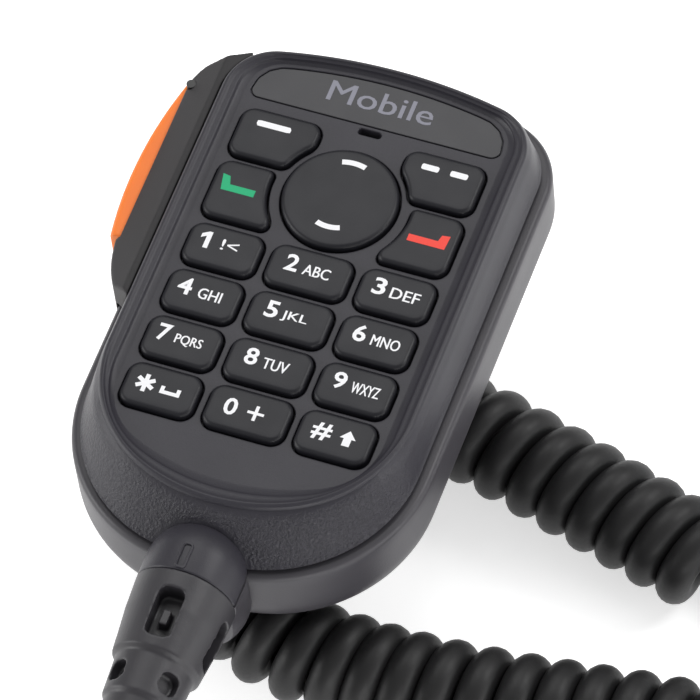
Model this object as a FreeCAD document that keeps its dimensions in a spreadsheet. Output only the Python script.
import FreeCAD, Part
import math
import os
import re

import Sketcher

# Hand microphone: a palm-sized case lying face up on its own curly cord.
# Millimetres. +Z is out of the keypad face, +Y towards the top end, +X to the right.
# The origin is the centre of the hang-up button's head, on the back of the case.

Vector = FreeCAD.Vector
Placement = FreeCAD.Placement
Rotation = FreeCAD.Rotation

# ---------------------------------------------------------------- driving dimensions

SIZES = {
    # levels along Z
    "crest_level": 31.7,
    "keytop_level": 31.3,
    "deck_level": 30.1,
    "parting_level": 23.3,
    "groove": 0.6,
    "back_level": 5.8,
    "table_level": -12.5,
    # case outlines: half width, ends, bows and corners
    "crest_half": 26.5,
    "crest_bottom": -65.6,
    "crest_bow": 32.0,
    "crest_corner": 23.0,
    "crest_top": 21.6,
    "crest_shoulder": 9.0,
    "cover_half": 28.4,
    "cover_bottom": -72.3,
    "cover_bow": 40.0,
    "cover_corner": 25.0,
    "cover_top": 23.6,
    "cover_shoulder": 11.0,
    "shell_half": 30.2,
    "shell_bottom": -73.4,
    "shell_bow": 42.0,
    "shell_corner": 26.5,
    "shell_top": 25.6,
    "shell_shoulder": 13.0,
    "deck_half": 22.6,
    "deck_bottom": -60.6,
    "deck_bow": 40.0,
    "deck_corner": 11.0,
    "deck_top": 19.7,
    "deck_shoulder": 6.0,
    "top_bow": 92.0,
    "wall": 2.2,
    "deck_wall": 2.0,
    "back_round": 8.0,
    "lip_round": 1.2,
    # collar and strain relief
    "collar_radius": 8.5,
    "collar_centre": -74.0,
    "collar_end": -78.3,
    "cord_axis_level": 21.8,
    "collar_bore": 5.6,
    "collar_drop": 7.0,
    "boot_end": -108.0,
    "boot_tip_radius": 5.0,
    "boot_core": 4.4,
    # keys
    "column_pitch": 14.95,
    "row_pitch": 9.4,
    "first_row": -20.0,
    "side_key": 12.6,
    "middle_key": 13.9,
    "key_deep": 8.1,
    "key_corner": 2.2,
    "key_gap": 0.3,
    "key_round": 0.8,
    "flange": 0.5,
    "flange_thick": 0.8,
    "key_travel": 0.7,
    "stem_radius": 1.6,
    "nav_radius": 9.7,
    "nav_place": -5.1,
    "soft_inner": 7.5,
    "side_outer": 21.3,
    "soft_low": -2.0,
    "soft_high": 7.7,
    "call_inner": 9.6,
    "call_low": -14.5,
    "call_high": -3.2,
    "soft_clear": 11.2,
    "call_clear": 12.1,
    # board and mat
    "board_half": 24.0,
    "board_low": -57.5,
    "board_high": 12.8,
    "board_level": 24.3,
    "board_thick": 1.6,
    "mat_thick": 1.0,
    "dome_radius": 2.5,
    "dome_high": 0.35,
    # talk button
    "talk_pin_x": -32.7,
    "talk_pin_y": 11.2,
    "talk_pin_radius": 0.8,
    "talk_low": 18.9,
    "talk_high": 26.1,
    "running": 0.05,
    # cord
    "cord_radius": 3.0,
    "coil_radius": 9.0,
    # hang-up button
    "head_radius": 7.0,
    "head_thick": 2.8,
    "neck_radius": 4.0,
    "pad_radius": 10.0,
    "pad_high": 1.0,
    # plug
    "plug_wide": 11.7,
    "plug_long": 21.5,
    "plug_high": 8.0,
    "plug_x": 72.0,
    "plug_y": 4.0,
}

os.makedirs("parts", exist_ok=True)
doc = FreeCAD.newDocument("hand_microphone")
sheet = doc.addObject("Spreadsheet::Sheet", "sizes")
for row, (alias, value) in enumerate(SIZES.items(), start=1):
    sheet.set(f"A{row}", alias)
    sheet.set(f"B{row}", str(value))
    sheet.setAlias(f"B{row}", alias)
doc.recompute()

subparts = []


def size(alias):
    return float(sheet.get(alias))


def cells(text):
    """The text as an expression: each word that is an alias points at its cell."""

    def cell(word):
        return f"sizes.{word.group(0)}" if word.group(0) in SIZES else word.group(0)

    return re.sub(r"[a-z]\w*", cell, text)


def name_it(item, label):
    """Takes the item as the sub-part called label."""
    item.Label = label
    subparts.append(item)
    return item


# ---------------------------------------------------------------- solid helpers

UPRIGHT = Rotation()
ALONG_X = Rotation(Vector(0, 1, 0), 90)
ALONG_Y = Rotation(Vector(1, 0, 0), -90)


def solid(kind, name, at, turn=UPRIGHT, **dims):
    """A Part primitive whose sizes and place are expressions on the sheet."""
    item = doc.addObject(f"Part::{kind}", name)
    for prop, text in dims.items():
        item.setExpression(prop, cells(text))
    item.Placement = Placement(Vector(), turn)
    for axis, text in zip("xyz", at):
        item.setExpression(f".Placement.Base.{axis}", cells(text))
    return item


def block(name, low, high):
    """A box between two corners, each given as three expressions."""
    spans = [f"({b}) - ({a})" for a, b in zip(low, high)]
    return solid("Box", name, low, Length=spans[0], Width=spans[1], Height=spans[2])


def rod(name, at, radius, length, turn=UPRIGHT):
    return solid("Cylinder", name, at, turn, Radius=radius, Height=length)


def fuse(name, items):
    item = doc.addObject("Part::MultiFuse", name)
    item.Shapes = items
    return item


def group(name, items):
    item = doc.addObject("Part::Compound", name)
    item.Links = items
    return item


def cut(name, base, tools):
    tool = tools[0] if len(tools) == 1 else fuse(f"{name}_tools", tools)
    item = doc.addObject("Part::Cut", name)
    item.Base = base
    item.Tool = tool
    return item


def common(name, items):
    item = doc.addObject("Part::MultiCommon", name)
    item.Shapes = items
    return item


def fillet(name, base, radius, wanted):
    """Rounds the edges of base for which wanted(edge) is true."""
    doc.recompute()
    edges = enumerate(base.Shape.Edges, start=1)
    item = doc.addObject("Part::Fillet", name)
    item.Base = base
    item.Edges = [(index, radius, radius) for index, edge in edges if wanted(edge)]
    return item


def at_level(level):
    """A test for edges that lie flat at a height."""
    return lambda edge: max(abs(v.Z - level) for v in edge.Vertexes) < 1e-4


def upright(edge):
    a, b = edge.Vertexes[0].Point, edge.Vertexes[-1].Point
    return abs(a.z - b.z) > 1e-3 and math.hypot(a.x - b.x, a.y - b.y) < 1e-6


def rounded_block(name, low, high, corner):
    """A box whose four upright edges are rounded."""
    return fillet(name, block(f"{name}_block", low, high), corner, upright)


# ---------------------------------------------------------------- case outlines


def outline(name, level, kind, inset="0"):
    """The case's outline in plan: straight sides, a deep bow at the bottom and a flat
    bow at the top, all tangent. inset moves it inwards by the same amount all round."""
    step = size("wall") if inset == "wall" else float(inset)
    half = size(f"{kind}_half") - step
    bottom = size(f"{kind}_bottom") + step
    bow = size(f"{kind}_bow") - step
    corner = size(f"{kind}_corner") - step
    top = size(f"{kind}_top") - step
    shoulder = size(f"{kind}_shoulder") - step
    crown = size("top_bow") - step
    low_bow = Vector(0, bottom + bow)
    low_x = half - corner
    low_corner = low_bow.y - math.sqrt((bow - corner) ** 2 - low_x**2)
    high_bow = Vector(0, top - crown)
    high_x = half - shoulder
    high_corner = high_bow.y + math.sqrt((crown - shoulder) ** 2 - high_x**2)
    lift = math.atan2(high_corner - high_bow.y, high_x)
    drop = math.atan2(low_bow.y - low_corner, low_x)

    def arc(x, y, radius, start, end):
        circle = Part.Circle(Vector(x, y), Vector(0, 0, 1), radius)
        return Part.ArcOfCircle(circle, start, end)

    turn = math.pi
    sketch = doc.addObject("Sketcher::SketchObject", name)
    sketch.addGeometry(
        [
            Part.LineSegment(Vector(half, low_corner), Vector(half, high_corner)),
            arc(high_x, high_corner, shoulder, 0, lift),
            arc(0, high_bow.y, crown, lift, turn - lift),
            arc(-high_x, high_corner, shoulder, turn - lift, turn),
            Part.LineSegment(Vector(-half, high_corner), Vector(-half, low_corner)),
            arc(-low_x, low_corner, corner, turn, turn + drop),
            arc(0, low_bow.y, bow, turn + drop, 2 * turn - drop),
            arc(low_x, low_corner, corner, 2 * turn - drop, 2 * turn),
        ],
        False,
    )
    for first in range(8):
        after = (first + 1) % 8
        sketch.addConstraint(Sketcher.Constraint("Tangent", first, 2, after, 1))
    sketch.addConstraint(Sketcher.Constraint("Vertical", 0))
    sketch.addConstraint(Sketcher.Constraint("PointOnObject", 2, 3, -2))
    sketch.addConstraint(Sketcher.Constraint("PointOnObject", 6, 3, -2))
    sketch.addConstraint(Sketcher.Constraint("Equal", 1, 3))
    sketch.addConstraint(Sketcher.Constraint("Equal", 5, 7))
    bound = {
        "half": (("DistanceX", -1, 1, 0, 1, half), f"{kind}_half - {inset}"),
        "shoulder": (("Radius", 1, shoulder), f"{kind}_shoulder - {inset}"),
        "crown": (("Radius", 2, crown), f"top_bow - {inset}"),
        "corner": (("Radius", 5, corner), f"{kind}_corner - {inset}"),
        "bow": (("Radius", 6, bow), f"{kind}_bow - {inset}"),
        "low": (("DistanceY", -1, 1, 6, 3, low_bow.y), f"{kind}_bottom + {kind}_bow"),
        "high": (("DistanceY", -1, 1, 2, 3, high_bow.y), f"{kind}_top - top_bow"),
    }
    for word, (constraint, text) in bound.items():
        index = sketch.addConstraint(Sketcher.Constraint(*constraint))
        sketch.renameConstraint(index, word)
        sketch.setExpression(f"Constraints.{word}", cells(text))
    sketch.setExpression(".Placement.Base.z", cells(level))
    return sketch


def loft(name, sections):
    item = doc.addObject("Part::Loft", name)
    item.Sections = sections
    item.Solid = True
    item.Ruled = True
    return item


def prism(name, sketch, height):
    item = doc.addObject("Part::Extrusion", name)
    item.Base = sketch
    item.DirMode = "Custom"
    item.Dir = Vector(0, 0, 1)
    item.setExpression("LengthFwd", cells(height))
    item.Solid = True
    return item


# ---------------------------------------------------------------- key shapes

KEY_ROWS = [("1", "2", "3"), ("4", "5", "6"), ("7", "8", "9"), ("star", "0", "hash")]


def digit_keys():
    """Name, low corner and high corner of each digit key, as expressions."""
    for line, row in enumerate(KEY_ROWS):
        middle = f"first_row - {line} * row_pitch"
        for column, mark in zip((-1, 0, 1), row):
            wide = "side_key" if column else "middle_key"
            centre = f"{column} * column_pitch"
            low = (f"{centre} - {wide} / 2", f"{middle} - key_deep / 2")
            high = (f"{centre} + {wide} / 2", f"{middle} + key_deep / 2")
            yield f"key_{mark}", low, high


def corner_keys():
    """The four keys round the rocker: name, low, high and the circle that trims them."""
    for side, word in ((-1, "left"), (1, "right")):
        near, far = f"{side} * soft_inner", f"{side} * side_outer"
        low, high = (far, near) if side < 0 else (near, far)
        yield f"soft_key_{word}", (low, "soft_low"), (high, "soft_high"), "soft_clear"
    for side, word in ((-1, "call"), (1, "end")):
        near, far = f"{side} * call_inner", f"{side} * side_outer"
        low, high = (far, near) if side < 0 else (near, far)
        yield f"{word}_key", (low, "call_low"), (high, "call_high"), "call_clear"


def grown(low, high, by):
    return tuple(f"({v}) - {by}" for v in low), tuple(f"({v}) + {by}" for v in high)


def key_prism(name, low, high, bottom, top, by, trim=None):
    """A rounded key outline grown by a gap, between two levels, and trimmed round the
    rocker where it stands beside it."""
    low, high = grown(low, high, by)
    corner = size("key_corner") + (size(by) if by in SIZES else float(by))
    body = rounded_block(name, (*low, bottom), (*high, top), corner)
    if not trim:
        return body
    ring = rod(
        f"{name}_ring",
        ("0", "nav_place", f"({bottom}) - 1"),
        f"{trim} - {by}",
        f"({top}) - ({bottom}) + 2",
    )
    trimmed = cut(f"{name}_trimmed", body, [ring])
    doc.recompute()
    return fillet(f"{name}_eased", trimmed, 0.9, lambda e: upright(e) and sharp(e, trim))


def sharp(edge, trim):
    """True for an upright edge that lies on the trimming circle."""
    point = edge.Vertexes[0].Point
    reach = math.hypot(point.x, point.y - size("nav_place"))
    return abs(reach - size(trim)) < 1.0


FLANGE_TOP = "deck_level - deck_wall - 0.2"
FLANGE_LOW = "deck_level - deck_wall - 0.2 - flange_thick"
KEY_FOOT = "deck_level - deck_wall - 0.2 - flange_thick / 2"
STEM_LOW = "board_level + dome_high + key_travel + 0.15"
STEM_HIGH = f"({FLANGE_LOW}) - ({STEM_LOW}) + 0.2"
NAV_STEM_LOW = "board_level + dome_high + 0.6"
NAV_STEMS = (-6.8, 6.8)


def make_key(name, low, high, trim=None):
    """A key: a cap with a rounded top, a wider flange under the deck, and a stem."""
    cap = key_prism(f"{name}_cap", low, high, KEY_FOOT, "keytop_level", "0", trim)
    doc.recompute()
    top = size("keytop_level")
    cap = fillet(f"{name}_soft", cap, size("key_round"), at_level(top))
    skirt = key_prism(f"{name}_skirt", low, high, FLANGE_LOW, FLANGE_TOP, "flange", trim)
    middle = [f"(({a}) + ({b})) / 2" for a, b in zip(low, high)]
    stem = rod(f"{name}_stem", (*middle, STEM_LOW), "stem_radius", f"{STEM_HIGH}")
    return name_it(fuse(name, [cap, skirt, stem]), name)


# ---------------------------------------------------------------- front cover


def badge_blank(name, inset, low, height):
    """The upper end of the deck's own outline, from a straight lower edge upwards."""
    plan = outline(f"{name}_plan", "deck_level - 0.5", "deck", inset)
    tower = prism(f"{name}_tower", plan, height)
    keep = block(f"{name}_keep", ("-40", low, "20"), ("40", "40", "40"))
    blank = common(f"{name}_blank", [tower, keep])
    return fillet(name, blank, 1.5, lambda e: upright(e) and e.Vertexes[0].Y < float(low) + 0.1)


def below(name, level):
    """A large block that fills everything under a level."""
    return block(name, ("-60", "-130", "-40"), ("60", "60", level))


def above(name, level):
    return block(name, ("-60", "-130", level), ("60", "60", "80"))


COLLAR_CENTRE = ("0", "collar_centre", "cord_axis_level")


def collar(name, drop="0"):
    """The round nose at the bottom end that the strain relief comes out of. It may run
    down the end wall by a drop."""
    low = ("0", "collar_centre", f"cord_axis_level - {drop}")
    ball = solid("Sphere", f"{name}_ball", COLLAR_CENTRE, Radius="collar_radius")
    pieces = [ball]
    if drop != "0":
        pieces.append(solid("Sphere", f"{name}_chin", low, Radius="collar_radius"))
        pieces.append(rod(f"{name}_column", low, "collar_radius", drop))
    sleeve = rod(
        f"{name}_sleeve",
        ("0", "collar_end", "cord_axis_level"),
        "collar_radius",
        "collar_centre - collar_end",
        ALONG_Y,
    )
    reach = block(f"{name}_reach", ("-12", "collar_end", "0"), ("12", "-50", "40"))
    return common(f"{name}_cut", [fuse(name, [*pieces, sleeve]), reach])


def collar_hole(name):
    """The bore for the strain relief's neck and, inside it, a wider pocket for its flange."""
    start = ("0", "collar_end - 1", "cord_axis_level")
    bore = rod(f"{name}_bore", start, "collar_bore", "12.5", ALONG_Y)
    pocket = ("0", "collar_end + 3", "cord_axis_level")
    return fuse(name, [bore, rod(f"{name}_pocket", pocket, "collar_bore + 1.3", "3.2", ALONG_Y)])


CASE_SCREWS = [("-20.2", "14.2"), ("20.2", "14.2"), ("-12.5", "-59"), ("12.5", "-59")]
BOARD_SCREWS = [("-12", "10.3"), ("12", "10.3"), ("-5.2", "-55.3"), ("5.2", "-55.3")]
MIC_PLACE = ("0", "9.4")
BOARD_TOP = "board_level"
BOSS_RADIUS = "3.0"
INSERT_RADIUS = "1.6"
CEILING = "deck_level - deck_wall"


def front_cover():
    parting = outline("cover_outline", "parting_level", "cover")
    crest = outline("crest_outline", "crest_level", "crest")
    body = loft("cover_body", [parting, crest])
    doc.recompute()
    body = fillet("cover_rounded", body, 0.9, at_level(size("crest_level")))
    nose = cut("cover_nose", collar("cover_collar"), [below("cover_under", "parting_level")])
    body = fuse("cover_blank", [body, nose])
    deck = outline("deck_outline", "deck_level", "deck")
    rim = outline("rim_outline", "crest_level", "crest", "0.8")
    dish = loft("dish", [deck, rim])
    low_bay = outline("cover_bay_low", "parting_level - 0.001", "cover", "wall")
    high_bay = outline("cover_bay_high", CEILING, "crest", "wall")
    bay = loft("cover_bay", [low_bay, high_bay])
    hollow = cut("cover_hollow", body, [dish, bay])
    posts = [
        rod(f"post_{n}", (x, y, "parting_level"), BOSS_RADIUS, f"{CEILING} - parting_level + 0.2")
        for n, (x, y) in enumerate(CASE_SCREWS)
    ]
    solid_cover = fuse("cover_with_posts", [hollow, *posts])
    board_posts = [
        rod(f"board_post_{n}", (x, y, BOARD_TOP), "1.7", f"{CEILING} - {BOARD_TOP} + 0.2")
        for n, (x, y) in enumerate(BOARD_SCREWS)
    ]
    solid_cover = fuse("cover_with_board_posts", [solid_cover, *board_posts])
    holes = [
        rod(f"board_post_hole_{n}", (x, y, "board_level - 1"), "0.8", "4")
        for n, (x, y) in enumerate(BOARD_SCREWS)
    ]
    holes += [
        rod(f"post_hole_{n}", (x, y, "parting_level - 1"), INSERT_RADIUS, "5.2")
        for n, (x, y) in enumerate(CASE_SCREWS)
    ]
    low, high = f"{CEILING} - 0.5", "crest_level + 1"
    for name, a, b in digit_keys():
        holes.append(key_prism(f"{name}_window", a, b, low, high, "key_gap"))
    for name, a, b, trim in corner_keys():
        holes.append(key_prism(f"{name}_window", a, b, low, high, "key_gap", trim))
    ring = ("0", "nav_place", low)
    holes.append(rod("nav_window", ring, "nav_radius + key_gap", "5"))
    holes.append(rounded_block("sound_slot", ("-2", "8.4", low), ("2", "9.6", high), 0.55))
    holes.append(badge_blank("badge_recess", "0.6", "10.2", "3"))
    holes.append(collar_hole("cover_collar_hole"))
    return name_it(cut("front_cover", solid_cover, holes), "front_cover")


# ---------------------------------------------------------------- rear shell

LIP = "parting_level - groove"
FLOOR = "back_level + wall"
PAD_LOW = "back_level - pad_high"


def rear_shell():
    plan = outline("shell_outline", "back_level", "shell")
    body = prism("shell_body", plan, f"{LIP} - back_level")
    body = fillet("shell_back", body, size("back_round"), at_level(size("back_level")))
    lip = size("parting_level") - size("groove")
    body = fillet("shell_lip", body, size("lip_round"), at_level(lip))
    nose = cut("shell_nose", collar("shell_collar", "collar_drop"), [above("shell_over", LIP)])
    pad = solid(
        "Cone",
        "shell_pad",
        ("0", "0", PAD_LOW),
        Radius1="pad_radius - pad_high",
        Radius2="pad_radius + 1",
        Height="pad_high * 2",
    )
    blank = fuse("shell_blank", [body, nose, pad])
    bay_plan = outline("shell_bay_plan", FLOOR, "shell", "wall")
    bay = prism("shell_bay", bay_plan, f"{LIP} - ({FLOOR}) + 1")
    doc.recompute()
    floor = size("back_level") + size("wall")
    bay = fillet("shell_bay_round", bay, size("back_round") - size("wall"), at_level(floor))
    hollow = cut("shell_hollow", blank, [bay])
    posts = [
        rod(f"shell_post_{n}", (x, y, f"({FLOOR}) - 1"), BOSS_RADIUS, f"{LIP} - ({FLOOR}) + 1")
        for n, (x, y) in enumerate(CASE_SCREWS)
    ]
    hub = rod("hub", ("0", "0", f"({FLOOR}) - 1"), "5", "5")
    with_posts = fuse("shell_with_posts", [hollow, *posts, hub])
    holes = []
    for n, (x, y) in enumerate(CASE_SCREWS):
        holes.append(rod(f"screw_way_{n}", (x, y, "back_level - 1"), "1.3", "20"))
        holes.append(rod(f"screw_well_{n}", (x, y, "back_level - 3"), "2.6", "9"))
    holes.append(rod("hang_insert_hole", ("0", "0", "back_level - 3"), "2.6", "10"))
    window = (("-32", "-18", "talk_low + 1.2"), ("-27", "-11", "talk_high - 4.4"))
    holes.append(block("plunger_window", *window))
    holes.append(collar_hole("shell_collar_hole"))
    return name_it(cut("rear_shell", with_posts, holes), "rear_shell")


NECK_START = ("0", "collar_end - 1", "cord_axis_level")


def case_seal():
    """The thin soft gasket that fills the groove between the two halves."""
    outer = prism("seal_outer", outline("seal_plan", LIP, "cover", "0.5"), "groove")
    low = outline("seal_hole_plan", f"{LIP} - 0.5", "cover", "1.9")
    tools = [prism("seal_hole", low, "groove + 1")]
    tools.append(rod("seal_gap", NECK_START, "collar_radius", "14", ALONG_Y))
    return name_it(cut("case_seal", outer, tools), "case_seal")


# ---------------------------------------------------------------- keypad and board


def badge_plate():
    """The smooth plate that fills the top of the deck."""
    return name_it(badge_blank("badge_plate", "0.8", "10.4", "0.45"), "badge_plate")


def nav_key():
    """The round rocker: it tips up and down about a left-right axis."""
    place = ("0", "nav_place")
    cap = rod("nav_cap", (*place, KEY_FOOT), "nav_radius", f"keytop_level - ({KEY_FOOT})")
    cap = fillet("nav_soft", cap, size("key_round"), at_level(size("keytop_level")))
    skirt_high = f"{FLANGE_TOP} - ({FLANGE_LOW})"
    disc = rod("nav_disc", (*place, FLANGE_LOW), "nav_radius + flange", skirt_high)
    band_low = ("-12", "nav_place - 2.2", FLANGE_LOW)
    band = block("nav_band", band_low, ("12", "nav_place + 2.2", FLANGE_TOP))
    skirt = common("nav_skirt", [disc, band])
    stem_high = f"({KEY_FOOT}) - ({NAV_STEM_LOW}) + 0.2"
    stems = [
        rod(f"nav_stem_{n}", ("0", f"nav_place + {y}", NAV_STEM_LOW), "stem_radius", stem_high)
        for n, y in enumerate(NAV_STEMS)
    ]
    return name_it(fuse("nav_key", [cap, skirt, *stems]), "nav_key")


def keypad():
    keys = [make_key(*row) for row in digit_keys()]
    keys += [make_key(*row) for row in corner_keys()]
    keys.append(nav_key())
    return keys


def stem_places():
    """Where each key's stem comes down on the board."""
    for _, low, high in digit_keys():
        yield tuple(f"(({a}) + ({b})) / 2" for a, b in zip(low, high))
    for _, low, high, _ in corner_keys():
        yield tuple(f"(({a}) + ({b})) / 2" for a, b in zip(low, high))
    for y in NAV_STEMS:
        yield "0", f"nav_place + {y}"


MAT_LOW = "board_level + 0.7"


def board_plate(name, low, high, inset):
    a = (f"-board_half + {inset}", f"board_low + {inset}", low)
    b = (f"board_half - {inset}", f"board_high - {inset}", high)
    return rounded_block(name, a, b, 6.0)


def keypad_mat():
    """The soft sheet between the keys and the board, with a hole for each stem."""
    sheet_body = board_plate("mat_blank", MAT_LOW, f"{MAT_LOW} + mat_thick", "1.2")
    holes = [
        rod(f"mat_hole_{n}", (x, y, "board_level"), "dome_radius", "4")
        for n, (x, y) in enumerate(stem_places())
    ]
    holes += notches("mat", "3.6", CASE_SCREWS) + notches("mat_small", "2.1", BOARD_SCREWS)
    holes.append(rod("mat_mic_hole", (*MIC_PLACE, "board_level"), "4.2", "4"))
    return name_it(cut("keypad_mat", sheet_body, holes), "keypad_mat")


def notches(name, radius, places):
    """Holes through the board or the mat where the cover's posts come down."""
    return [
        rod(f"{name}_notch_{n}", (x, y, "board_level - 3"), radius, "8")
        for n, (x, y) in enumerate(places)
    ]


def circuit_board():
    plate = board_plate("board_blank", "board_level - board_thick", BOARD_TOP, "0")
    holes = notches("board", "3.4", CASE_SCREWS) + notches("board_small", "1.1", BOARD_SCREWS)
    return name_it(cut("circuit_board", plate, holes), "circuit_board")


def dome_contacts():
    domes = [
        solid(
            "Cone",
            f"dome_{n}",
            (x, y, BOARD_TOP),
            Radius1="dome_radius - 0.3",
            Radius2="1.2",
            Height="dome_high",
        )
        for n, (x, y) in enumerate(stem_places())
    ]
    return name_it(group("dome_contacts", domes), "dome_contacts")


def board_screws():
    """Small screws that would hold the board to the front cover."""
    items = []
    for n, (x, y) in enumerate(BOARD_SCREWS):
        head = rod(f"board_head_{n}", (x, y, "board_level - board_thick - 1.2"), "1.8", "1.2")
        start = (x, y, "board_level - board_thick")
        shank = rod(f"board_shank_{n}", start, "0.75", "board_thick + 2.5")
        items.append(fuse(f"board_screw_{n}", [head, shank]))
    return name_it(group("board_screws", items), "board_screws")


def backlights():
    places = [(x, y) for x in ("-7.6", "7.6") for y in ("-24.6", "-34", "-43.4")]
    lamps = []
    for n, (x, y) in enumerate(places):
        low = (f"{x} - 0.8", f"{y} - 0.4", "board_level")
        high = (f"{x} + 0.8", f"{y} + 0.4", "board_level + 0.5")
        lamps.append(block(f"lamp_{n}", low, high))
    return name_it(group("key_backlights", lamps), "key_backlights")


def microphone_parts():
    """The capsule behind the sound slot, and the soft cup that holds it."""
    place = (*MIC_PLACE, "board_level + 0.4")
    capsule = rod("mic_capsule", place, "2.95", "2.2")
    cup_high = f"{CEILING} - board_level - 0.35"
    cup = rod("cup_body", (*MIC_PLACE, "board_level + 0.05"), "3.6", cup_high)
    well = rod("cup_well", place, "3.0", "8")
    cup = cut("mic_cup", cup, [well])
    name_it(capsule, "mic_capsule")
    return name_it(cup, "mic_cup")


def sound_mesh():
    """The fine screen glued behind the sound slot."""
    low, high = ("-3", "7.9", f"{CEILING} - 0.25"), ("3", "9.9", f"{CEILING} - 0.02")
    return name_it(block("sound_mesh", low, high), "sound_mesh")


def wire_header():
    low = ("-5", "board_low + 8", "board_level - board_thick - 4")
    high = ("5", "board_low + 13", "board_level - board_thick")
    housing = block("header_body", low, high)
    slot = block(
        "header_slot",
        ("-4.2", "board_low + 7", "board_level - board_thick - 3.2"),
        ("4.2", "board_low + 11", "board_level - board_thick - 1"),
    )
    return name_it(cut("wire_header", housing, [slot]), "wire_header")


def logic_chips():
    """The encoder and the amplifier on the underside of the board."""
    under = "board_level - board_thick"
    big = block("encoder_chip", ("-5", "-30", f"{under} - 1.4"), ("5", "-20", under))
    small = block("amplifier_chip", ("8", "0", f"{under} - 1.2"), ("13", "4", under))
    return name_it(group("board_chips", [big, small]), "board_chips")


# ---------------------------------------------------------------- talk button


def talk_plan(name, points, bows):
    """A closed plan shape from points; bows gives the middle point of a curved side."""
    corners = [Vector(*p, 0) for p in points]
    edges = []
    for n, start in enumerate(corners):
        end = corners[(n + 1) % len(corners)]
        if n in bows:
            edges.append(Part.Arc(start, Vector(*bows[n], 0), end).toShape())
        else:
            edges.append(Part.LineSegment(start, end).toShape())
    plan = doc.addObject("Part::Feature", name)
    plan.Shape = Part.Wire(edges)
    return plan


def talk_surround():
    """The raised boss on the left side that frames the talk button."""
    plan = talk_plan(
        "surround_plan",
        [(-24, 18.6), (-31.2, 15.2), (-33.5, 11.0), (-34.0, -20.5), (-30.4, -30.6), (-24, -34)],
        {1: (-32.7, 13.4), 3: (-32.6, -26.2)},
    )
    tower = prism("surround_tower", plan, "14.0")
    tower.Base.Placement.Base.z = size("talk_low") - 2.2
    side = talk_plan(
        "surround_side",
        [(-24, 16.5), (-30.6, 16.5), (-33.6, 18.6), (-33.9, 26.2), (-28.0, 30.2), (-24, 30.4)],
        {2: (-34.0, 22.4)},
    )
    side.Placement = Placement(Vector(0, 30, 0), Rotation(Vector(1, 0, 0), 90))
    beam = doc.addObject("Part::Extrusion", "surround_beam")
    beam.Base = side
    beam.DirMode = "Custom"
    beam.Dir = Vector(0, -1, 0)
    beam.LengthFwd = 80
    beam.Solid = True
    blank = common("surround_blank", [tower, beam])
    pocket_high = ("-30.9", "13.4", "talk_high + 0.3")
    pocket = block("talk_pocket", ("-40", "-20.4", "talk_low - 0.3"), pocket_high)
    pin_way = rod(
        "talk_pin_way",
        ("talk_pin_x", "talk_pin_y", "talk_low - 1.6"),
        "talk_pin_radius",
        "talk_high - talk_low + 3.0",
    )
    way_high = ("-24", "-11", "talk_high - 4.4")
    plunger_way = block("plunger_way", ("-32", "-18", "talk_low + 1.2"), way_high)
    shell = prism("surround_shell", outline("surround_shell_plan", "0", "shell"), "parting_level")
    cover = loft(
        "surround_cover",
        [
            outline("surround_cover_low", "parting_level", "cover"),
            outline("surround_cover_high", "crest_level", "crest"),
        ],
    )
    return name_it(
        cut("talk_surround", blank, [pocket, pin_way, plunger_way, shell, cover]), "talk_surround"
    )


def talk_button():
    """The bar that keys the transmitter. It hangs on a pin at its top end."""
    plan = talk_plan(
        "button_plan",
        [(-31.3, 12.9), (-33.9, 12.6), (-35.4, -20.0), (-32.6, -20.0), (-32.6, 8.6)],
        {1: (-36.5, -7.0)},
    )
    tower = prism("button_tower", plan, "talk_high - talk_low")
    tower.Base.Placement.Base.z = size("talk_low")
    doc.recompute()
    level_low, level_high = size("talk_low"), size("talk_high")

    def outer(edge):
        flat = at_level(level_low)(edge) or at_level(level_high)(edge)
        middle = edge.valueAt((edge.FirstParameter + edge.LastParameter) / 2)
        return flat and middle.x < -34.5

    tower = fillet("button_soft", tower, 1.2, outer)
    hole = rod(
        "button_pin_hole",
        ("talk_pin_x", "talk_pin_y", "talk_low - 1"),
        "talk_pin_radius + running",
        "talk_high - talk_low + 2",
    )
    drilled = cut("button_drilled", tower, [hole])
    low = ("-33", "-15.6", "talk_low + 1.9")
    high = ("-28.2", "-13.4", "talk_high - 5.1")
    plunger = block("button_plunger", low, high)
    return name_it(fuse("talk_button", [drilled, plunger]), "talk_button")


def talk_pin():
    pin = rod(
        "talk_pin",
        ("talk_pin_x", "talk_pin_y", "talk_low - 1.6"),
        "talk_pin_radius",
        "talk_high - talk_low + 2.9",
    )
    return name_it(pin, "talk_pin")


def talk_switch():
    """The small switch that the talk button's plunger presses, and its bracket."""
    middle = "talk_low + 1.9 + 0.1"
    top = "board_level - board_thick"
    body = block("switch_body", ("-25.4", "-17.5", f"{middle} - 2.4"), ("-21.6", "-11.5", top))
    plunger = rod("switch_plunger", ("-26.8", "-14.5", middle), "0.8", "1.5", ALONG_X)
    return name_it(fuse("talk_switch", [body, plunger]), "talk_switch")


# ---------------------------------------------------------------- fasteners and hang-up button


def case_screws():
    items = []
    for n, (x, y) in enumerate(CASE_SCREWS):
        head = rod(f"case_head_{n}", (x, y, "back_level + 3.4"), "2.2", "2.55")
        shank = rod(f"case_shank_{n}", (x, y, "back_level + 5"), "1.05", "16.4")
        drive = doc.addObject("Part::RegularPolygon", f"case_drive_{n}")
        drive.Polygon = 6
        drive.Circumradius = 1.1
        drive.Placement = Placement(Vector(float(x), float(y), size("back_level") + 3.3), UPRIGHT)
        socket = prism(f"case_socket_{n}", drive, "1.4")
        items.append(cut(f"case_screw_{n}", fuse(f"case_solid_{n}", [head, shank]), [socket]))
    return name_it(group("case_screws", items), "case_screws")


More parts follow.
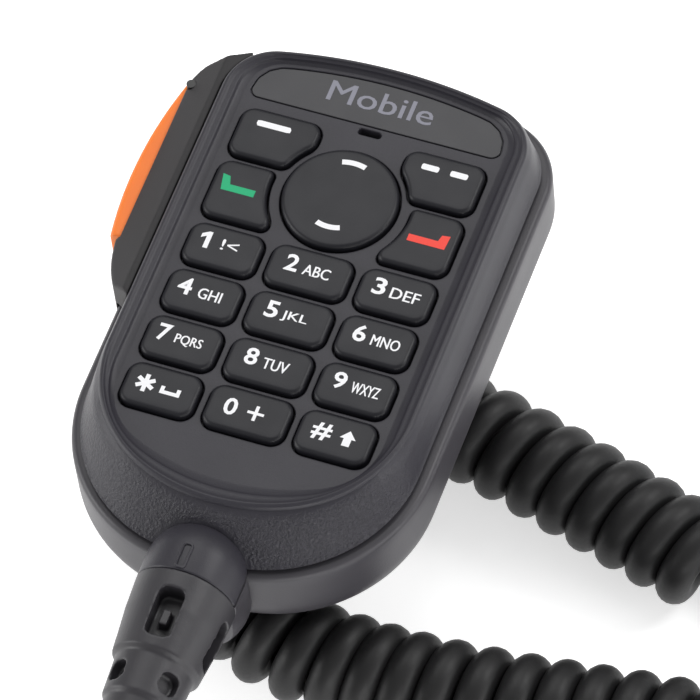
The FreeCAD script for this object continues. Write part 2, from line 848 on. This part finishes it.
def brass_inserts():
    items = []
    for n, (x, y) in enumerate(CASE_SCREWS):
        sleeve = rod(f"insert_sleeve_{n}", (x, y, "parting_level"), "1.57", "4.1")
        bore = rod(f"insert_bore_{n}", (x, y, "parting_level - 1"), "1.1", "4.6")
        items.append(cut(f"insert_{n}", sleeve, [bore]))
    return name_it(group("brass_inserts", items), "brass_inserts")


def hang_up_button():
    """The mushroom on the back that drops into a wall or dashboard hanger."""
    low = "-head_thick / 2"
    head = rod("hang_head", ("0", "0", low), "head_radius", "head_thick")
    neck = rod("hang_neck", ("0", "0", "0"), "neck_radius", PAD_LOW)
    blank = fuse("hang_blank", [head, neck])
    way = rod("hang_way", ("0", "0", "-5"), "1.6", "12")
    sink = rod("hang_sink", ("0", "0", "-5"), "3.0", "5 - head_thick / 2 + 1.7")
    button = cut("hang_up_button", blank, [way, sink])
    name_it(button, "hang_up_button")
    screw_low = "-head_thick / 2 + 0.2"
    screw_head = rod("hang_screw_head", ("0", "0", screw_low), "2.8", "1.5")
    shank = rod("hang_screw_shank", ("0", "0", "0"), "1.45", "9.6")
    slot = block("hang_screw_slot", ("-3", "-0.4", "-2"), ("3", "0.4", "-0.5"))
    name_it(cut("hang_up_screw", fuse("hang_screw_blank", [screw_head, shank]), [slot]), "hang_up_screw")
    sleeve = rod("hang_insert_sleeve", ("0", "0", PAD_LOW), "2.57", "5.9")
    bore = rod("hang_insert_bore", ("0", "0", "0"), "1.5", "14")
    return name_it(cut("hang_up_insert", sleeve, [bore]), "hang_up_insert")


# ---------------------------------------------------------------- strain relief


def strain_relief():
    """The tapered rubber boot: a neck and flange held in the collar, then a sleeve with
    windows over a solid core, so that it bends without kinking."""
    radius = size("collar_radius")
    start, end = size("collar_end"), size("boot_end")
    tip, core = size("boot_tip_radius"), size("boot_core")
    bore = size("collar_bore") - 0.05
    profile = [
        (0, start + 8.2),
        (bore, start + 8.2),
        (bore, start + 6.1),
        (bore + 1.2, start + 6.1),
        (bore + 1.2, start + 3.1),
        (bore, start + 3.1),
        (bore, start - 0.05),
        (radius, start - 0.05),
        (radius - 0.3, start - 6.0),
        (radius - 1.1, start - 13.5),
        (radius - 1.9, start - 14.1),
        (radius - 2.3, start - 21.0),
        (radius - 2.8, start - 21.6),
        (tip, end + 0.6),
        (tip - 0.6, end),
        (0, end),
    ]
    axis = Vector(0, 0, size("cord_axis_level"))
    points = [axis + Vector(x, y, 0) for x, y in profile]
    face = Part.Face(Part.makePolygon([*points, points[0]]))
    turned = doc.addObject("Part::Feature", "boot_turned")
    turned.Shape = face.revolve(axis, Vector(0, 1, 0), 360)
    windows = []
    bands = [(-3.0, -11.6, 4.4), (-16.0, -19.6, 3.6), (-23.4, -26.4, 3.0)]
    for band, (near, far, wide) in enumerate(bands):
        for quarter in range(4):
            side = size("collar_radius")
            low, high = Vector(-wide / 2, start + far, core), Vector(wide, near - far, side)
            slot = Part.makeBox(high.x, high.y, high.z, low)
            edges = [e for e in slot.Edges if upright_z(e)]
            slot = slot.makeFillet(min(1.4, wide / 2.2), edges)
            slot.rotate(Vector(), Vector(0, 1, 0), 90 * quarter + 45 * (band % 2))
            slot.translate(axis)
            windows.append(slot)
    tool = doc.addObject("Part::Feature", "boot_windows")
    tool.Shape = Part.makeCompound(windows)
    body = cut("boot_open", turned, [tool])
    bore_tool = rod("boot_bore", ("0", "boot_end - 1", "cord_axis_level"), "cord_radius", "11", ALONG_Y)
    return name_it(cut("strain_relief", body, [bore_tool]), "strain_relief")


def upright_z(edge):
    a, b = edge.Vertexes[0].Point, edge.Vertexes[-1].Point
    return abs(a.z - b.z) > 1e-3


def cord_clamp():
    """The saddle inside the case that grips the cord behind the strain relief."""
    low = ("-5.5", "-69.2", "back_level + back_round + 0.2")
    high = ("5.5", "-64.2", "cord_axis_level - 0.2")
    body = rounded_block("clamp_blank", low, high, 1.0)
    foot_high = ("5.5", "-60.6", "cord_axis_level - 6")
    foot = rounded_block("clamp_foot", ("-5.5", "-64.6", FLOOR), foot_high, 1.0)
    way = rod("clamp_way", ("0", "-72", "cord_axis_level"), "cord_radius + 0.05", "14", ALONG_Y)
    return name_it(cut("cord_clamp", fuse("clamp_body", [body, foot]), [way]), "cord_clamp")


def cord_inner_end():
    """The last stretch of cord inside the case, from the strain relief to its stripped end."""
    start = ("0", "collar_end + 8.2", "cord_axis_level")
    jacket = rod("inner_jacket", start, "cord_radius", "7", ALONG_Y)
    wires = []
    for n in range(4):
        x, z = 1.1 * math.cos(math.pi * (n + 0.5) / 2), 1.1 * math.sin(math.pi * (n + 0.5) / 2)
        place = (f"{x:.3f}", "collar_end + 15.2", f"cord_axis_level + {z:.3f}")
        wires.append(rod(f"inner_wire_{n}", place, "0.6", "4.5", ALONG_Y))
    return name_it(fuse("cord_inner_end", [jacket, *wires]), "cord_inner_end")


# ---------------------------------------------------------------- cord

WIRE_LEVEL = SIZES["table_level"] + SIZES["cord_radius"]
COIL_LEVEL = SIZES["table_level"] + SIZES["coil_radius"]
AXIS_LEVEL = SIZES["cord_axis_level"]

LEADER = [
    (0, -98, AXIS_LEVEL),
    (0, -110, 21.6),
    (0, -122, 18.2),
    (0.5, -132, 10.0),
    (2, -141, 0.5),
    (8, -152, -8.5),
    (20, -161, WIRE_LEVEL),
    (38, -165, WIRE_LEVEL),
    (60, -161, WIRE_LEVEL),
    (83, -150, WIRE_LEVEL),
    (104, -133, WIRE_LEVEL),
    (118, -112, WIRE_LEVEL),
    (122, -91, WIRE_LEVEL),
    (115, -73, WIRE_LEVEL),
    (104, -65.5, WIRE_LEVEL),
    (93, -63.4, WIRE_LEVEL),
]
COIL = [
    (93, -63.4, COIL_LEVEL),
    (76, -64.4, COIL_LEVEL),
    (52, -68.2, COIL_LEVEL),
    (28, -70.2, COIL_LEVEL),
    (5, -68.2, COIL_LEVEL),
    (-11, -56.5, COIL_LEVEL),
    (-12.5, -37.5, COIL_LEVEL),
    (-1, -22.8, COIL_LEVEL),
    (19, -19.0, COIL_LEVEL),
    (43, -25.2, COIL_LEVEL),
    (66, -31.8, COIL_LEVEL),
    (82, -36.2, COIL_LEVEL),
]
TAIL = [
    (82, -36.2, WIRE_LEVEL),
    (92, -39.2, WIRE_LEVEL),
    (105.5, -41.2, WIRE_LEVEL),
    (118.5, -36.9, WIRE_LEVEL),
    (127.3, -27.0, WIRE_LEVEL),
    (129.0, -14.0, WIRE_LEVEL),
    (123.9, -2.6, WIRE_LEVEL + 0.5),
    (113.9, 4, WIRE_LEVEL + 1),
    (102, 4, WIRE_LEVEL + 1),
]


def route_edges(points, least):
    """Straight runs joined by tangent arcs, each as large as its two runs allow."""
    corners = [Vector(*p) for p in points]
    edges, start, radii = [], corners[0], []
    for before, corner, after in zip(corners, corners[1:], corners[2:]):
        back = (before - corner).normalize()
        ahead = (after - corner).normalize()
        shorter = min((before - corner).Length, (after - corner).Length)
        half_turn = (math.pi - back.getAngle(ahead)) / 2
        reach = 0.45 * shorter
        radii.append(reach / math.tan(half_turn))
        enter, leave = corner + back * reach, corner + ahead * reach
        towards = (back + ahead).normalize()
        centre = corner + towards * math.hypot(reach, radii[-1])
        middle = centre - towards * radii[-1]
        edges.append(Part.LineSegment(start, enter).toShape())
        edges.append(Part.Arc(enter, middle, leave).toShape())
        start = leave
    edges.append(Part.LineSegment(start, corners[-1]).toShape())
    print("  radii", " ".join(f"{r:.0f}" for r in radii), "least allowed", least)
    return edges


def cord_piece(name, points, radius, least):
    """A plain tube along a route, with its volume compared with section times length."""
    path = Part.Wire(route_edges(points, least))
    start, ahead = Vector(*points[0]), Vector(*points[1]) - Vector(*points[0])
    ring = Part.Wire(Part.Circle(start, ahead, size(radius)).toShape())
    tube = path.makePipeShell([ring], True, True)
    expected = math.pi * size(radius) ** 2 * path.Length
    print(f"  {name}: {path.Length:.0f} mm, volume ratio {tube.Volume / expected:.4f}")
    item = doc.addObject("Part::Feature", name)
    item.Shape = tube
    item.Placement = Placement()
    return name_it(item, name)


# ---------------------------------------------------------------- plug

PLUG_LOW = "table_level"
PLUG_BACK = "plug_x + plug_long"


def plug():
    side = "plug_wide / 2"
    low = ("plug_x", f"plug_y - {side}", PLUG_LOW)
    high = (PLUG_BACK, f"plug_y + {side}", f"{PLUG_LOW} + 6.6")
    body = block("plug_block", low, high)
    step_low = ("plug_x + 14", f"plug_y - {side}", f"{PLUG_LOW} + 6.6")
    step = block("plug_step", step_low, (PLUG_BACK, f"plug_y + {side}", f"{PLUG_LOW} + plug_high"))
    slots = []
    for n in range(8):
        y = f"plug_y + ({n} - 3.5) * 1.02"
        slot_low = ("plug_x - 1", f"{y} - 0.28", f"{PLUG_LOW} - 1")
        slot_high = ("plug_x + 5", f"{y} + 0.28", f"{PLUG_LOW} + 2.4")
        slots.append(block(f"plug_slot_{n}", slot_low, slot_high))
    way = rod("plug_way", ("plug_x + 9", "plug_y", PLUG_AXIS), "cord_radius", "20", ALONG_X)
    gap = block(
        "latch_gap",
        ("plug_x + 13.5", "plug_y - 3.4", f"{PLUG_LOW} + 6.6"),
        (f"{PLUG_BACK} + 1", "plug_y + 3.4", f"{PLUG_LOW} + 12"),
    )
    blank = fuse("plug_blank", [body, step])
    name_it(cut("plug_body", blank, [*slots, way, gap]), "plug_body")
    blades = []
    for n in range(8):
        y = f"plug_y + ({n} - 3.5) * 1.02"
        blade_low = ("plug_x + 0.3", f"{y} - 0.18", f"{PLUG_LOW} + 0.5")
        blade_high = ("plug_x + 4.6", f"{y} + 0.18", f"{PLUG_LOW} + 2.3")
        blades.append(block(f"blade_{n}", blade_low, blade_high))
    name_it(group("plug_contacts", blades), "plug_contacts")
    return latch(), plug_boot()


PLUG_AXIS = "table_level + 4"
LATCH_RISE = 12.0


def latch():
    """The springy tab on top of the plug. It rises towards the cord."""
    tab = doc.addObject("Part::Box", "latch_tab")
    tab.Length, tab.Width, tab.Height = 15.5, 3.2, 0.9
    keeper = doc.addObject("Part::Box", "latch_keeper")
    keeper.Length, keeper.Width, keeper.Height = 7.0, 6.2, 0.9
    keeper.Placement = Placement(Vector(1.2, -1.5, 0), UPRIGHT)
    both = fuse("plug_latch", [tab, keeper])
    turn = Rotation(Vector(0, 1, 0), -LATCH_RISE)
    hinge = Vector(size("plug_x") + 1.0, size("plug_y") - 1.6, size("table_level") + 6.85)
    both.Placement = Placement(hinge, turn)
    return name_it(both, "plug_latch")


def plug_boot():
    """The small soft sleeve where the cord enters the plug."""
    start = (f"{PLUG_BACK}", "plug_y", PLUG_AXIS)
    sleeve = solid("Cone", "plug_sleeve", start, ALONG_X, Radius1="4.0", Radius2="3.6", Height="8.5")
    way = rod("plug_sleeve_way", (f"{PLUG_BACK} - 1", "plug_y", PLUG_AXIS), "cord_radius", "12", ALONG_X)
    return name_it(cut("plug_sleeve_cut", sleeve, [way]), "plug_boot")


# ---------------------------------------------------------------- build, check and write

front_cover()
rear_shell()
case_seal()
badge_plate()
keypad()
keypad_mat()
circuit_board()
dome_contacts()
board_screws()
backlights()
microphone_parts()
sound_mesh()
wire_header()
logic_chips()
talk_surround()
talk_button()
talk_pin()
talk_switch()
case_screws()
brass_inserts()
hang_up_button()
strain_relief()
cord_clamp()
cord_inner_end()
cord_piece("cord_leader", LEADER, "cord_radius", 18)
cord_piece("cord_coil", COIL, "coil_radius", 18)
cord_piece("cord_tail", TAIL, "cord_radius", 18)
plug()
doc.recompute()

failed = [o.Name for o in doc.Objects if {"Invalid", "Error"} & set(o.State)]
for item in subparts:
    if item.Shape.isNull() or not item.Shape.isValid() or not item.Shape.Solids:
        failed.append(item.Label)
if failed:
    raise RuntimeError(f"failed: {failed}")
for item in subparts:
    item.Shape.exportStep(f"parts/{item.Label}.step")
    box = item.Shape.BoundBox
    print(
        f"{item.Label:18s} solids {len(item.Shape.Solids)}"
        f" volume {item.Shape.Volume:9.1f}"
        f" x {box.XMin:.1f}..{box.XMax:.1f} y {box.YMin:.1f}..{box.YMax:.1f}"
        f" z {box.ZMin:.1f}..{box.ZMax:.1f}"
    )
